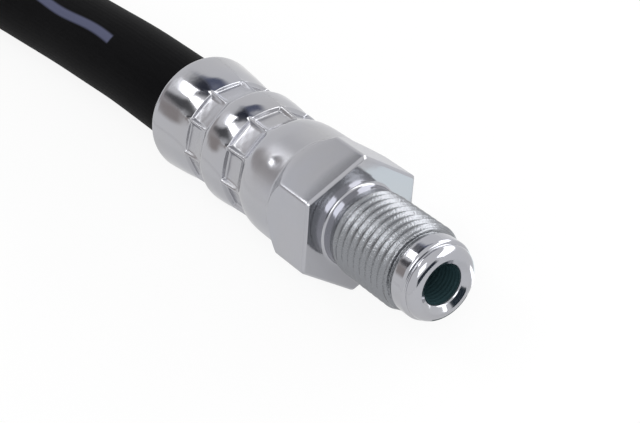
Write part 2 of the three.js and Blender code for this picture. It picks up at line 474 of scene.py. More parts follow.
@dataclass(frozen=True)
class DrawnSteelTube:
    """Plain drawn steel tube, a dull grey metal with fine lines along it and no plating."""

    colour: str = "9a9da3"
    roughness: float = 0.32
    line_mm: float = 0.25
    line_stretch: Triple = (0.05, 1.0, 1.0)
    line_height_mm: float = 0.003

    def build(self) -> bpy.types.Material:
        """Make the material."""
        material, tree = new_material("drawn_steel_tube")
        place = add_node(tree, "ShaderNodeTexCoord").outputs["Object"]
        inputs = {"Vector": place, "Scale": self.line_stretch}
        stretched = add_node(tree, "ShaderNodeMapping", inputs=inputs).outputs[0]
        lines = add_noise(tree, stretched, self.line_mm * MM, LINE_DETAIL)
        set_surface(
            tree,
            {
                "Base Color": linear(self.colour),
                "Metallic": 1.0,
                "Roughness": self.roughness,
                "Normal": add_bump(tree, lines, self.line_height_mm),
            },
        )
        return material


@dataclass(frozen=True)
class ExtrudedRubber:
    """Black synthetic rubber cover, extruded over the hose's cords and cured.

    It is nearly black with a low, dusty sheen, and carries a plain painted stripe that stops short
    of the fittings. UV holds millimetres: round the hose from the stripe's middle, and along it
    from the nearer mouth.
    """

    colour: str = "050506"
    dust_colour: str = "0d0d0f"
    stripe_colour: str = "53566c"
    roughness: float = 0.55
    ior: float = 1.5
    specular_level: float = 0.02
    stripe_width_mm: float = 1.15
    stripe_from_mm: float = 16.0
    stripe_fades_mm: Pair = (0.16, 0.15)
    wave_height_mm: float = 0.2
    wave_length_mm: float = 18.0
    dust_mm: float = 0.5
    dust_stretch: Triple = (1.0, 0.16, 1.0)
    grain_mm: float = 0.16
    grain_height_mm: float = 0.012

    def build(self) -> bpy.types.Material:
        """Make the material."""
        material, tree = new_material("extruded_rubber")
        spread = add_node(tree, "ShaderNodeUVMap", {"uv_map": "wrap_mm"}).outputs[0]
        inputs = {"Vector": spread, "Scale": self.dust_stretch}
        drawn = add_node(tree, "ShaderNodeMapping", inputs=inputs).outputs[0]
        dust = add_noise(tree, drawn, self.dust_mm, LINE_DETAIL)
        rubber = add_mix(tree, dust, linear(self.colour), linear(self.dust_colour))
        stripe = self._stripe(tree, spread)
        grain = add_noise(tree, spread, self.grain_mm, GRAIN_DETAIL)
        set_surface(
            tree,
            {
                "Base Color": add_mix(tree, stripe, rubber, linear(self.stripe_colour)),
                "Roughness": self.roughness,
                "IOR": self.ior,
                "Specular IOR Level": self.specular_level,
                "Normal": add_bump(tree, grain, self.grain_height_mm),
            },
        )
        return material

    def _stripe(self, tree: Tree, spread: Link) -> Link:
        """Return 1 on the painted stripe, which wanders a little, and 0 off it.

        Args:
            tree: The node tree to add to.
            spread: Millimetres round and along the hose.

        Returns:
            The share.
        """
        split = add_node(tree, "ShaderNodeSeparateXYZ", inputs={0: spread}).outputs
        rate = 2 * math.pi / self.wave_length_mm
        turn = add_math(tree, "MULTIPLY_ADD", split[1], rate, -rate * self.stripe_from_mm)
        wave = add_math(tree, "SINE", turn)
        off = add_math(tree, "MULTIPLY_ADD", wave, self.wave_height_mm, split[0])
        half, start = self.stripe_width_mm / 2, self.stripe_from_mm
        side_fade, end_fade = self.stripe_fades_mm
        distance = add_math(tree, "ABSOLUTE", off)
        across = add_ramp(tree, distance, half + side_fade, half - side_fade)
        along = add_ramp(tree, split[1], start - end_fade, start + end_fade)
        return add_math(tree, "MULTIPLY", across, along)


@dataclass(frozen=True)
class StudioFloor:
    """Matt white floor, which keeps a soft shadow and turns white away from it."""

    colour: str = "f4f4f4"
    glow: float = 0.88
    mirrored_glow: float = 0.35

    def build(self) -> bpy.types.Material:
        """Make the material."""
        material, tree = new_material("studio_floor")
        matt = add_node(tree, "ShaderNodeBsdfDiffuse", inputs={"Color": linear(self.colour)})
        glow = add_node(tree, "ShaderNodeEmission", inputs={"Color": WHITE, "Strength": 1.0})
        eye = add_node(tree, "ShaderNodeLightPath").outputs["Is Camera Ray"]
        mirrored = add_math(tree, "MULTIPLY", seen_directly(tree), self.mirrored_glow)
        share = add_math(tree, "MULTIPLY_ADD", eye, self.glow - self.mirrored_glow, mirrored)
        inputs = {0: share, 1: matt.outputs[0], 2: glow.outputs[0]}
        set_output(tree, add_node(tree, "ShaderNodeMixShader", inputs=inputs).outputs[0])
        return material


class Finish(Enum):
    """The finishes, by the record's material slot."""

    ZINC = "zinc_plating"
    RUBBER = "hose_rubber"
    STEEL = "insert_steel"


def build_finishes() -> dict[Finish, bpy.types.Material]:
    """Make each finish's material once."""
    return {
        Finish.ZINC: BrightZincPlating().build(),
        Finish.RUBBER: ExtrudedRubber().build(),
        Finish.STEEL: DrawnSteelTube().build(),
    }


# Sub-assemblies


@dataclass
class Skirt:
    """The skirt that two rings of dies have pressed onto the hose. Places run from its mouth."""

    length: float = 24.9
    mouth_place: float = 0.3
    mouth: float = 5.65
    lip: float = 0.35
    rim_length: float = 1.15
    rim: float = 7.15
    middle_crown: float = 6.92
    middle_rise: float = 1.4
    last_crown: float = 6.94
    last_rise: float = 3.4
    end: float = 6.98
    falls: Pair = (0.673, 0.806)
    rim_steps: int = 9
    fall_steps: int = 14
    crimp_steps: tuple[int, int, int] = (7, 8, 6)
    rise_steps: int = 13
    end_steps: int = 11
    edge: float = 0.05
    dies: int = 10
    turn_degrees: float = 3.0
    starts: Pair = (7.0, 15.0)
    width: float = 3.2
    corners: Pair = (6.49, 6.61)
    ridge_ends: Pair = (0.08, 0.22)
    ridge_degrees: Pair = (0.9, 3.7)
    floor: float = 6.24
    hollow: float = 0.06
    reaches: Pair = (2.2, 1.8)
    lead_flatness: float = 0.4
    lead_power: float = 1.5
    floor_flatness: float = 0.85
    reach_after: float = 1.2
    wall: float = 0.17
    back_walls: Pair = (1.7, 0.6)
    die_corner: float = 0.2
    bite: float = 0.14
    die_phase: float = 2.4
    ring_phase: float = 1.9
    waves: float = 0.009
    wave_rates: Triple = (5.1, 2.1, 21.0)
    least_pocket: float = 0.05
    fin_height: float = 0.12
    fin_degrees: float = 1.3
    fin_lead: float = 0.3
    fin_rise: float = 0.15
    fin_low: float = 0.3
    fin_sizes: Pair = (0.75, 0.35)
    mark_place: float = 23.2
    mark_degrees: float = -17.8
    mark_size: Pair = (1.0, 0.7)
    mark_depth: float = 0.1
    mark_roughness: float = 0.9
    mark_rates: tuple[float, float, float, float] = (17.0, 5.0, 19.0, 4.0)
    mark_core: float = 0.35

    def die_share(self, place: float) -> float:
        """Give how fully the dies have flattened the skirt.

        Args:
            place: The place along the skirt.

        Returns:
            The share, from 0 to 1.
        """
        shares = [0.0]
        for start, reach in zip(self.starts, self.reaches):
            end = start + self.width
            if place < start:
                lead = max(0.0, 1 - (start - place) / reach)
                shares.append(self.lead_flatness * lead**self.lead_power)
            elif place <= end:
                down = float(smoothstep(place, start, start + self.wall))
                more = self.floor_flatness - self.lead_flatness
                shares.append(self.lead_flatness + more * down)
            else:
                after = 1 - float(smoothstep(place, end, end + self.reach_after))
                shares.append(self.floor_flatness * after)
        return max(shares)

    def ridge_end(self, ring: int) -> float:
        """Give the radius where the ridges between the dies run out."""
        return self.floor + self.ridge_ends[ring]

    def pocket(self, place: float, ring: int) -> float:
        """Give how far a ring's dies have sunk below the ridges between them.

        Args:
            place: The place along the skirt.
            ring: Which ring of dies, 0 or 1.

        Returns:
            The depth.
        """
        start = self.starts[ring]
        end = start + self.width
        if not start < place < end:
            return 0.0
        ridge = float(np.interp(place, (start, end), (self.corners[ring], self.ridge_end(ring))))
        down = float(smoothstep(place, start, start + self.wall))
        up = 1 - float(smoothstep(place, end - self.back_walls[ring], end))
        hollow = self.hollow * math.sin(math.pi * (place - start) / self.width)
        return (ridge - self.floor + hollow) * min(down, up)

    def fin(self, place: float, ring: int) -> float:
        """Give the height of the thin fin that is squeezed up between two dies.

        Args:
            place: The place along the skirt.
            ring: Which ring of dies, 0 or 1.

        Returns:
            The height.
        """
        start, lead = self.starts[ring], self.fin_lead
        if place >= start + self.width:
            return 0.0
        rise = float(smoothstep(place, start - lead, start + self.fin_rise))
        high = 1 - float(smoothstep(place, start + lead, start + self.width - lead))
        return self.fin_height * rise * (self.fin_low + (1 - self.fin_low) * high)

    def dent(self, place: float, angles: Array) -> Array:
        """Give the depth of the small rough mark that the press left before the hexagon.

        Args:
            place: The place along the skirt.
            angles: Directions in radians, from straight up.

        Returns:
            The depth in each direction.
        """
        around = (np.degrees(angles) - self.mark_degrees + 180) % 360 - 180
        arc = np.radians(around) * self.end
        off = np.hypot((place - self.mark_place) / self.mark_size[0], arc / self.mark_size[1])
        a, b, c, d = self.mark_rates
        rough = self.mark_roughness * np.sin(place * a + arc * b) * np.cos(arc * c - place * d)
        return self.mark_depth * (1 + rough) * (1 - smoothstep(off, self.mark_core, 1.0))

    def outline(self) -> Array:
        """Draw the turned section from the lip to the cone."""
        first, second = self.starts
        draw = Outline(self.mouth_place, self.mouth)
        draw.line(self.mouth_place, self.mouth + self.lip, steps=2, soft=self.edge)
        draw.curve((self.mouth_place, self.rim), self.rim_length, self.rim, self.rim_steps)
        self._crimp(draw, 0, self.rim_length, self.rim)
        self._rise(draw, first + self.width, self.middle_crown, self.middle_rise)
        self._crimp(draw, 1, first + self.width + self.middle_rise, self.middle_crown)
        self._rise(draw, second + self.width, self.last_crown, self.last_rise)
        draw.line(self.length, self.end, self.end_steps)
        return draw.points()

    def _crimp(self, draw: Outline, ring: int, place: float, crown: float) -> None:
        """Draw the long fall from a crown, and the ridges' line through the crimp after it.

        Args:
            draw: The section so far.
            ring: Which ring of dies, 0 or 1.
            place: Where the fall starts.
            crown: The radius there.
        """
        start, top, low = self.starts[ring], self.corners[ring], self.ridge_end(ring)
        end = start + self.width
        control = ((place + start) / 2, top + (crown - top) * self.falls[ring])
        draw.curve(control, start, top, self.fall_steps, soft=self.edge)
        stops = (start + self.wall, end - self.back_walls[ring], end)
        for stop, steps in zip(stops, self.crimp_steps):
            draw.line(stop, top + (low - top) * (stop - start) / self.width, steps)

    def _rise(self, draw: Outline, start: float, crown: float, length: float) -> None:
        """Draw the round shoulder from a crimp up to the crown after it."""
        draw.curve((start + length / 3, crown), start + length, crown, self.rise_steps)

    def rings(self, angles: Array) -> tuple[Array, Array]:
        """Give the place and radius of each ring of the outside, at each angle.

        Args:
            angles: Directions in radians, from straight up.

        Returns:
            Places and radii, one row a ring.
        """
        half = math.pi / self.dies
        turned = angles - math.radians(self.turn_degrees)
        from_flat = turned - half
        flat = rounded_polygon(from_flat, self.dies, math.cos(half), self.die_corner / self.floor)
        off = np.degrees((turned + half) % (2 * half) - half)
        sunk = smoothstep(np.abs(off), *self.ridge_degrees)
        peak = np.exp(-((off / self.fin_degrees) ** 2))
        die = np.floor(turned / (2 * half))
        corner = np.round(angles / (2 * half))
        along, shift, around = self.wave_rates
        places, radii = [], []
        for place, radius in self.outline():
            height = radius * (1 + (flat - 1) * self.die_share(place))
            wave = np.sin(place * along + shift * die) * np.cos(from_flat * around + die)
            for ring in (0, 1):
                bite = 1 + self.bite * np.sin(self.die_phase * die + self.ring_phase * ring)
                pocket = self.pocket(place, ring)
                uneven = self.waves * wave * float(pocket > self.least_pocket)
                size = np.sin(self.die_phase * corner + ring)
                size = self.fin_sizes[0] + self.fin_sizes[1] * size
                height = height - sunk * (pocket * bite + uneven)
                height = height + self.fin(place, ring) * peak * size
            places.append(np.full_like(angles, place))
            radii.append(height - self.dent(place, angles))
        return np.array(places), np.array(radii)


@dataclass
class Hexagon:
    """The hexagon and the cone that joins it to the skirt."""

    sides: int = 6
    start: float = 24.9
    start_radius: float = 6.98
    flat: float = 7.0
    corner: float = 0.45
    least_corner: float = 0.05
    length: float = 7.1
    cone_degrees: float = 28.0
    cone_shares: tuple[float, ...] = (0.0, 0.25, 0.5, 0.75, 0.95)
    edge: float = 0.09
    edge_share: float = 0.45
    edge_rings: int = 5
    flat_shares: tuple[float, ...] = (0.12, 0.4, 0.7, 1.0)
    flat_gap: float = 0.06
    bevel: float = 0.28
    bevel_rings: tuple[Pair, ...] = ((0.01, 0.008), (-0.05, 0.05), (-0.22, 0.22), (-0.28, 0.285))
    face_gap: float = 0.05
    face_corner: float = 0.2

    @property
    def shoulder(self) -> float:
        """Place of the front face."""
        return self.start + self.length

    def rings(self, angles: Array) -> tuple[Array, Array]:
        """Give the place and radius of each ring, which follow the arcs where cone meets flat.

        Args:
            angles: Directions in radians, from straight up.

        Returns:
            Places and radii, one row a ring.
        """
        slope = math.tan(math.radians(self.cone_degrees))
        flats = rounded_polygon(angles, self.sides, self.flat, self.corner)
        arc = self.start + (flats - self.start_radius) / slope
        soft = np.minimum(self.edge, (arc - self.start) * self.edge_share)
        places, radii = [], []
        for share in self.cone_shares:
            place = self.start + (arc - soft - self.start) * share
            places.append(place)
            radii.append(self.start_radius + (place - self.start) * slope)
        for t in np.linspace(0, 1, self.edge_rings):
            back, ahead = (1 - t) ** 2, t**2
            places.append(arc - soft * back + soft * ahead)
            radii.append(flats - soft * slope * back)
        bevel_start = self.shoulder - self.bevel
        for share in self.flat_shares:
            places.append(arc + soft + (bevel_start - self.flat_gap - arc - soft) * share)
            radii.append(flats)
        for back, drop in self.bevel_rings:
            corner = max(self.corner - drop, self.least_corner)
            places.append(np.full_like(angles, bevel_start - back))
            radii.append(rounded_polygon(angles, self.sides, self.flat - drop, corner))
        face = self.flat - self.bevel - self.face_gap
        places.append(np.full_like(angles, self.shoulder))
        radii.append(rounded_polygon(angles, self.sides, face, self.face_corner))
        return np.array(places), np.array(radii)


@dataclass
class ScrewedEnd:
    """The neck, thread, relief groove, pilot, sealing bead and countersunk nose."""

    shoulder: float = 32.0
    face_ring: float = 0.6
    neck: float = 4.68
    neck_fillet: float = 0.4
    fillet_steps: int = 12
    thread_start: float = 32.9
    thread_end: float = 42.6
    pitch: float = 1.0
    crest: float = 5.0
    root: float = 4.66
    crest_share: float = 0.1
    root_share: float = 0.36
    flank_swell: float = 0.06
    blank_gap: float = 0.02
    run_in: float = 1.9
    run_out: float = 0.35
    steps_per_turn: int = 11
    relief: float = 4.2
    relief_length: float = 0.6
    relief_wall: float = 0.15
    pilot: float = 4.5
    pilot_length: float = 2.05
    pilot_round: float = 0.4
    pilot_fall: float = 0.45
    pilot_corner: float = 0.05
    notch: float = 4.1
    notch_length: float = 0.15
    notch_corners: Pair = (0.1, 0.08)
    bead: float = 4.2
    bead_length: float = 1.08
    bead_rise: float = 0.12
    bead_turn_degrees: float = 76.0
    bead_steps: int = 12
    nose: float = 3.06
    mouth: float = 2.3
    mouth_depth: float = 0.45
    passage: float = 1.7
    taper: float = 5.0
    bore_steps: int = 50
    ring_height: float = 0.02
    ring_pitch: float = 0.45
    ring_fade: float = 12.0
    edge: float = 0.06

    @property
    def pilot_start(self) -> float:
        """Place where the pilot starts."""
        return self.thread_end + self.relief_length

    @property
    def pilot_end(self) -> float:
        """Place where the pilot ends."""
        return self.pilot_start + self.pilot_length

    @property
    def nose_end(self) -> float:
        """Place of the foremost face."""
        return self.pilot_end + self.notch_length + self.bead_length

    def neck_outline(self) -> Array:
        """Draw the section from the hexagon's front face to the thread."""
        start, top = self.shoulder, self.neck + self.neck_fillet
        draw = Outline(start, top + self.face_ring)
        draw.line(start, top)
        draw.curve((start, self.neck), start + self.neck_fillet, self.neck, self.fillet_steps)
        draw.line(self.thread_start, self.neck, steps=4)
        return draw.points()

    def nose_outline(self) -> Array:
        """Draw the section from the thread's end over the pilot and bead into the bore."""
        start, end, pilot = self.pilot_start, self.pilot_end, self.pilot
        draw = Outline(self.thread_end, self.root)
        draw.line(self.thread_end + self.relief_wall, self.relief, steps=2, soft=self.edge)
        draw.line(start, self.relief, steps=2, soft=self.edge)
        draw.curve((start, pilot), start + self.pilot_round, pilot, steps=7)
        draw.line(end - self.pilot_fall, pilot, steps=5)
        into, out = self.notch_corners
        draw.curve((end - self.pilot_corner, pilot), end, self.notch, steps=8, soft=into)
        notch_end = end + self.notch_length
        draw.line(notch_end, self.notch, soft=out)
        widest = notch_end + self.bead_rise
        draw.curve((notch_end, self.bead), widest, self.bead, steps=5)
        last = math.radians(self.bead_turn_degrees)
        wide = (self.nose_end - widest) / math.sin(last)
        deep = (self.bead - self.nose) / (1 - math.cos(last))
        for turn in np.linspace(0, last, self.bead_steps)[1:-1]:
            draw.line(widest + wide * math.sin(turn), self.bead - deep * (1 - math.cos(turn)))
        draw.line(self.nose_end, self.nose, soft=self.edge)
        draw.line(self.nose_end - self.mouth_depth, self.mouth, steps=5, soft=self.edge / 2)
        return draw.points()

    def bore_outline(self, seat: float) -> Array:
        """Draw the drilled bore, with the drill's rings, back to the insert's seat.

        Args:
            seat: Place of the seat's front end.

        Returns:
            Places and radii.
        """
        share = np.linspace(0, 1, self.bore_steps + 1)[1:]
        place = self.nose_end - self.mouth_depth - self.taper * share
        rings = self.ring_height * np.sin(place * 2 * math.pi / self.ring_pitch)
        rings = rings * np.minimum(share * self.ring_fade, 1)
        radius = self.mouth + (self.passage - self.mouth) * share + rings
        return np.vstack([np.stack([place, radius], 1), [[seat, self.passage]]])

    def thread_radius(self, place: Array, angle: Array) -> Array:
        """Give the thread's radius, which fades in and out at its ends.

        Args:
            place: Places along the fitting.
            angle: Directions in radians, from 0 to a full turn.

        Returns:
            The radius at each.
        """
        turn = (place / self.pitch - angle / (2 * math.pi)) % 1.0
        off = np.abs(turn - 0.5) * 2
        flank = np.clip((off - self.root_share) / (1 - self.root_share - self.crest_share), 0, 1)
        height = flank + self.flank_swell * np.sin(flank * math.pi) * (1 - flank)
        into = smoothstep(place, self.thread_start, self.thread_start + self.run_in)
        out = smoothstep(place, self.thread_end - self.run_out, self.thread_end)
        blank = self.neck + (self.crest - self.blank_gap - self.neck) * into
        cut = self.root + (blank - self.root) * height
        thread = blank + (np.minimum(cut, blank) - blank) * into
        return thread + (self.root - thread) * out


@dataclass
class Socket:
    """The inside of the fitting: the seat of the insert and the waves that grip the hose."""

    depth: float = 22.4
    seat_length: float = 4.8
    seat: float = 2.4
    seat_step: float = 0.3
    crown: float = 6.0
    crimp: float = 5.044
    bend: float = 1.2
    mouth_length: float = 2.5
    mouth: float = 5.65
    mouth_lip: float = 0.2
    mouth_corner: float = 0.1

    def outline(self, skirt: Skirt) -> Array:
        """Draw the section from the insert's seat back to the mouth.

        Args:
            skirt: The skirt round it, whose dies squeezed it.

        Returns:
            Places and radii.
        """
        end = self.depth + self.seat_length
        draw = Outline(end, self.seat - self.seat_step)
        draw.line(end, self.seat)
        draw.line(self.depth, self.seat, steps=2)
        draw.line(self.depth, self.crown, steps=2)
        for start in reversed(skirt.starts):
            draw.line(start + skirt.width + self.bend, self.crown)
            draw.line(start + skirt.width, self.crimp, steps=2)
            draw.line(start, self.crimp, steps=2)
            draw.line(start - self.bend, self.crown, steps=2)
        draw.line(self.mouth_length, self.crown)
        draw.line(skirt.mouth_place + self.mouth_lip, self.mouth, steps=3, soft=self.mouth_corner)
        draw.line(skirt.mouth_place, self.mouth)
        return draw.points()


@dataclass
class EndFitting:
    """One end fitting, a single piece of plated steel."""

    name: str
    node: str
    mouth: Triple
    heading_degrees: float
    material: bpy.types.Material
    skirt: Skirt = field(default_factory=Skirt)
    hexagon: Hexagon = field(default_factory=Hexagon)
    screwed: ScrewedEnd = field(default_factory=ScrewedEnd)
    socket: Socket = field(default_factory=Socket)
    base_step_degrees: float = 3.0
    least_step_degrees: float = 0.25
    die_offsets: tuple[float, ...] = (-3.7, -2.7, -1.8, -0.9, 0.0, 0.9, 1.8, 2.7, 3.7)
    hexagon_offsets: tuple[float, ...] = (-3.5, -1.8, 0.0, 1.8, 3.5)

    def angles(self) -> Array:
        """Give the directions of the mesh's lines: even, and close beside each corner."""
        made = set(np.arange(0, 360, self.base_step_degrees).tolist())
        die = 360 / self.skirt.dies
        corners = [
            (self.skirt.turn_degrees + die * k, self.die_offsets) for k in range(self.skirt.dies)
        ]
        side = 360 / self.hexagon.sides
        corners += [
            (side / 2 + side * k, self.hexagon_offsets) for k in range(self.hexagon.sides)
        ]
        for corner, offsets in corners:
            made.update(round((corner + off) % 360, 3) for off in offsets)
        kept: list[float] = []
        for angle in sorted(made):
            if not kept or angle - kept[-1] > self.least_step_degrees:
                kept.append(angle)
        return np.radians(np.array(kept))

    def mesh(self) -> tuple[Array, Faces]:
        """Build the closed surface ring by ring, outside first and then back through the bore.

        Returns:
            Points in metres, with the mouth's middle at the origin, and faces.
        """
        angles = self.angles()
        before = [
            self.skirt.rings(angles),
            self.hexagon.rings(angles),
            self._turned(self.screwed.neck_outline(), angles),
        ]
        screw = self._screw(angles)
        seat = self.socket.depth + self.socket.seat_length
        after = [
            self._turned(self.screwed.nose_outline(), angles),
            self._turned(self.screwed.bore_outline(seat), angles),
            self._turned(self.socket.outline(self.skirt), angles),
        ]
        blocks = [*before, screw, *after]
        places = np.vstack([block[0] for block in blocks])
        radii = np.vstack([block[1] for block in blocks])
        first_turn = sum(len(block[0]) for block in before)
        return self._skin(places, radii, angles, range(first_turn, first_turn + len(screw[0])))

    @staticmethod
    def _turned(outline: Array, angles: Array) -> tuple[Array, Array]:
        """Turn a section round the axis."""
        ones = np.ones_like(angles)
        return outline[:, :1] * ones, outline[:, 1:] * ones

    def _screw(self, angles: Array) -> tuple[Array, Array]:
        """Give the thread's lines, which climb one pitch in each turn.

        Args:
            angles: Directions in radians, from straight up.

        Returns:
            Places and radii, one row a line.
        """
        end = self.screwed
        length = end.thread_end - end.thread_start
        per_turn = end.steps_per_turn
        count = int(math.ceil(length / end.pitch + 1)) * per_turn
        steps = np.arange(-per_turn, count - per_turn + 1)[:, None] / per_turn
        raw = end.thread_start + (steps + angles[None] / (2 * math.pi)) * end.pitch
        places = np.clip(raw, end.thread_start, end.thread_end)
        return places, end.thread_radius(places, np.broadcast_to(angles, places.shape))

    def _skin(
        self, places: Array, radii: Array, angles: Array, thread: range
    ) -> tuple[Array, Faces]:
        """Join the rings with faces, shifting the thread's lines where a turn closes.

        Args:
            places: Places along the fitting, one row a ring.
            radii: The radius at each.
            angles: Directions in radians, from straight up.
            thread: Which rings are the thread's.

        Returns:
            Points in metres, and faces.
        """
        rings, across = places.shape
        points = np.stack([places, radii * np.sin(angles), radii * np.cos(angles)], 2)
        index = np.arange(rings * across).reshape(rings, across)
        closing = index[:, 0].copy()
        rows = np.array(thread)
        closing[rows] = index[np.minimum(rows + self.screwed.steps_per_turn, thread[-1]), 0]
        wide = np.hstack([index, closing[:, None]])
        wide = np.vstack([wide, wide[:1]])
        faces = np.stack([wide[:-1, :-1], wide[:-1, 1:], wide[1:, 1:], wide[1:, :-1]], 2)
        joined, kept = welded(points.reshape(-1, 3), faces.reshape(-1, 4))
        return joined * MM, kept

    def build(self) -> bpy.types.Object:
        """Build, place and dress the fitting, which stands for its CAD node."""
        points, faces = self.mesh()
        made = new_mesh_object(self.name, points, faces)
        turn = Matrix.Rotation(math.radians(self.heading_degrees), 4, "Z")
        made.matrix_world = Matrix.Translation(Vector(self.mouth) * MM) @ turn
        made.data.materials.append(self.material)
        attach(made, ROOT)
        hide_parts(self.node)
        return made


@dataclass
class Hose:
    """The rubber hose, swept along its route and squeezed inside both skirts.

    The route runs from the front mouth to the middle, with how far it has sunk to the floor at
    each point, and the rear half mirrors it.
    """

    material: bpy.types.Material
    radius: float = 5.35
    bore: float = 1.6
    insert_hole: float = 2.58
    insert_overlap: int = 3
    rib_count: int = 58
    rib_height: float = 0.012
    rib_evenness: float = 0.6
    rib_waves: tuple[Triple, ...] = ((0.6, 7, 1.3), (0.4, 17, 0.4))
    around: int = 232
    step: float = 1.6
    rim: float = 7.15
    ground: float = 5.4
    socket_crown: float = 5.7
    socket_crimp: float = 4.744
    socket_bend: float = 1.2
    socket_mouth: Pair = (1.5, 2.5)
    socket_steps: Pair = (0.5, 1.0)
    socket_end: float = 22.1
    stripe_degrees: float = 12.0
    half_route: tuple[Triple, ...] = (
        (112.9, 22.2, 0),
        (104.9, 22.2, 0.03),
        (96.9, 22.2, 0.18),
        (88.9, 22, 0.42),
        (80.9, 21.8, 0.7),
        (72.9, 21.4, 0.9),
        (62.5, 20.7, 1),
        (52.5, 19.5, 1),
        (41, 17.2, 1),
        (29.7, 13.8, 1),
        (18.6, 9.5, 1),
        (8.9, 4.7, 1),
    )

    def knots(self) -> Array:
        """Give the route's points in millimetres, from the front mouth to the rear mouth."""
        rear = [(-x, -y, sunk) for x, y, sunk in reversed(self.half_route)]
        route = [*self.half_route, (0, 0, 1), *rear]
        drop = self.ground - self.rim
        return np.array([(x, y, self.rim + drop * sunk) for x, y, sunk in route])

    def centreline(self) -> Array:
        """Give closely spaced points along the route, from mouth to mouth."""
        knots = self.knots()
        ends = [2 * knots[0] - knots[1], *knots, 2 * knots[-1] - knots[-2]]
        made = []
        for i in range(1, len(ends) - 2):
            count = max(2, round(np.linalg.norm(ends[i + 1] - ends[i]) / self.step))
            for t in np.linspace(0, 1, count, endpoint=False):
                made.append(self._between(ends[i - 1 : i + 3], float(t)))
        made.append(knots[-1])
        return np.array(made)

    @staticmethod
    def _between(four: Sequence[Array], t: float) -> Array:
        """Give a point on the middle span of four centripetal spline points.

        Args:
            four: The four points.
            t: How far along the span, from 0 to 1.

        Returns:
            The point.
        """
        gaps = [math.sqrt(float(np.linalg.norm(four[k + 1] - four[k]))) for k in range(3)]
        start = (four[1] - four[0]) / gaps[0] - (four[2] - four[0]) / (gaps[0] + gaps[1])
        start = (start + (four[2] - four[1]) / gaps[1]) * gaps[1]
        end = (four[2] - four[1]) / gaps[1] - (four[3] - four[1]) / (gaps[1] + gaps[2])
        end = (end + (four[3] - four[2]) / gaps[2]) * gaps[1]
        p, q = four[1], four[2]
        squared = (-3 * p + 3 * q - 2 * start - end) * t**2
        return p + start * t + squared + (2 * p - 2 * q + start + end) * t**3

    def end_sections(self, skirt: Skirt) -> tuple[Array, Array]:
        """Give the sections of the hose inside a skirt.

        Args:
            skirt: The skirt that squeezes it.

        Returns:
            Places from the skirt's mouth inwards, and the hose's radius at each.
        """
        free, squeezed = self.socket_mouth
        table = [(0.0, self.radius), (free, self.radius), (squeezed, self.socket_crown)]
        for start in skirt.starts:
            end = start + skirt.width
            table.append((start - self.socket_bend, self.socket_crown))
            table += [(start, self.socket_crimp), (end, self.socket_crimp)]
            table.append((end + self.socket_bend, self.socket_crown))
        table.append((self.socket_end, self.socket_crown))
        places, radii = np.array(table).T
        first, step = self.socket_steps
        even = np.arange(first, self.socket_end, step)
        fine = np.unique(np.concatenate([places, even]))
        return fine, np.interp(fine, places, radii)

    def build(self, skirt: Skirt) -> bpy.types.Object:
        """Args:
            skirt: The skirt that squeezes each end.

        Returns:
            The hose.
        """
        line = self.centreline()
        places, squeezed = (part[1:] for part in self.end_sections(skirt))
        front = line[0] + np.outer(places[::-1], [1.0, 0.0, 0.0])
        rear = line[-1] + np.outer(places, [-1.0, 0.0, 0.0])
        centres = np.vstack([front, line, rear])
        radii = np.concatenate([squeezed[::-1], np.full(len(line), self.radius), squeezed])
        made = self._tube(centres, radii, len(front))
        made.data.materials.append(self.material)
        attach(made, ROOT)
        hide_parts("hose")
        return made

    def _tube(self, centres: Array, radii: Array, hidden: int) -> bpy.types.Object:
        """Sweep the ribbed outside and the bore along the centres, closed at both ends.

        Args:
            centres: The middle of each section.
            radii: The radius of each section.
            hidden: How many sections stand inside the skirt at each end.

        Returns:
            The hose.
        """
        count = len(centres)
        ways = np.gradient(centres, axis=0)
        ways /= np.linalg.norm(ways, axis=1)[:, None]
        ways[:hidden] = ways[-hidden:] = (-1.0, 0.0, 0.0)
        ups = [np.array([0.0, 0.0, 1.0])]
        for way in ways[1:]:
            up = ups[-1] - way * float(ups[-1] @ way)
            ups.append(up / np.linalg.norm(up))
        up = np.array(ups)
        side = np.cross(up, ways)
        turn = np.linspace(0, 2 * math.pi, self.around, endpoint=False)
        cos, sin = np.cos(turn)[None, :, None], np.sin(turn)[None, :, None]
        ring = cos * up[:, None] + sin * side[:, None]
        free = np.zeros(count)
        free[hidden : count - hidden] = 1.0
        outer = radii[:, None] + free[:, None] * self._ribs(turn)[None]
        from_end = np.minimum(np.arange(count), np.arange(count)[::-1])
        widened = from_end < hidden - self.insert_overlap
        inner = np.where(widened, self.insert_hole, self.bore)[:, None] * np.ones(self.around)
        outside = centres[:, None] + ring * outer[:, :, None]
        bore = centres[:, None] + ring * inner[:, :, None]
        points = np.vstack([outside.reshape(-1, 3), bore[::-1].reshape(-1, 3)]) * MM
        rows = 2 * count
        index = np.arange(rows * self.around).reshape(rows, self.around)
        wide = np.hstack([index, index[:, :1]])
        wide = np.vstack([wide, wide[:1]])
        faces = np.stack([wide[:-1, :-1], wide[1:, :-1], wide[1:, 1:], wide[:-1, 1:]], 2)
        made = new_mesh_object("hose_tube", points, faces.reshape(-1, 4).tolist())
        along = np.concatenate([[0], np.cumsum(np.linalg.norm(np.diff(centres, axis=0), axis=1))])
        self._wrap(made, np.minimum(along - along[hidden], along[-1 - hidden] - along), turn)
        return made

    def _ribs(self, turn: Array) -> Array:
        """Give the height of the faint ribs that the extruder's die leaves.

        Args:
            turn: Directions round the hose in radians.

        Returns:
            The height in each direction.
        """
        uneven = sum(size * np.cos(turn * rate + shift) for size, rate, shift in self.rib_waves)
        share = self.rib_evenness + (1 - self.rib_evenness) * uneven
        return self.rib_height * np.cos(turn * self.rib_count) * share

